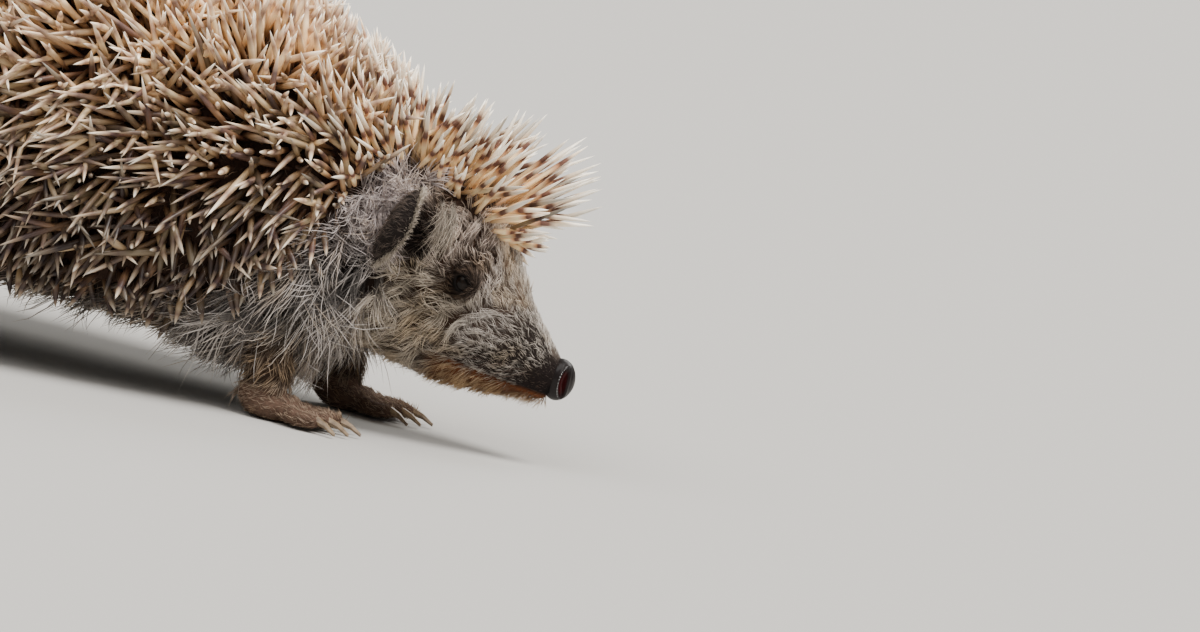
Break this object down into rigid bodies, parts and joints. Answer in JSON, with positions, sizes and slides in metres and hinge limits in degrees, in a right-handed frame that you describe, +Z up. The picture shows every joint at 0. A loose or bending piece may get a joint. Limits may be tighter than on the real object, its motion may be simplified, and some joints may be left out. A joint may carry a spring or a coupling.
{
  "type": "hedgehog",
  "caption": "Life-size standing hedgehog with its nose held low: spiny back and crown, grizzled furred face and belly, rounded ears, feet and claws.",
  "frame": {"origin": "on the floor under the middle of the animal's bounding box", "axes": "+X from the rump to the nose, +Y to the animal's left, +Z up"},
  "size_m": [0.2361, 0.123, 0.121],
  "materials": {
    "spines": "keratin spines banded cream, tan and dark brown, satin",
    "body_fur": "coarse grizzled grey-brown and off-white hair",
    "face_fur": "short flat brown-grey hair, darker on the muzzle and round the eyes",
    "bare_skin": "dark bare skin, finely wrinkled",
    "nose_leather": "wet black pebbled skin",
    "eye_black": "glossy near-black",
    "claw_horn": "translucent-looking horn, satin"
  },
  "bodies": {
    "root": {"head": "face_fur", "jaw": "face_fur", "nose": "nose_leather", "crown": "spines", "back": "spines", "neck": "body_fur", "trunk": "body_fur", "tail": "body_fur", "ear_left": "bare_skin", "ear_right": "bare_skin", "eye_left": "eye_black", "eye_right": "eye_black", "leg_front_left": "body_fur", "foot_front_left": "bare_skin", "claw_front_left_1": "claw_horn", "claw_front_left_2": "claw_horn", "claw_front_left_3": "claw_horn", "claw_front_left_4": "claw_horn", "claw_front_left_5": "claw_horn", "leg_front_right": "body_fur", "foot_front_right": "bare_skin", "claw_front_right_1": "claw_horn", "claw_front_right_2": "claw_horn", "claw_front_right_3": "claw_horn", "claw_front_right_4": "claw_horn", "claw_front_right_5": "claw_horn", "leg_hind_left": "body_fur", "foot_hind_left": "bare_skin", "claw_hind_left_1": "claw_horn", "claw_hind_left_2": "claw_horn", "claw_hind_left_3": "claw_horn", "claw_hind_left_4": "claw_horn", "claw_hind_left_5": "claw_horn", "leg_hind_right": "body_fur", "foot_hind_right": "bare_skin", "claw_hind_right_1": "claw_horn", "claw_hind_right_2": "claw_horn", "claw_hind_right_3": "claw_horn", "claw_hind_right_4": "claw_horn", "claw_hind_right_5": "claw_horn"}
  },
  "joints": []
}
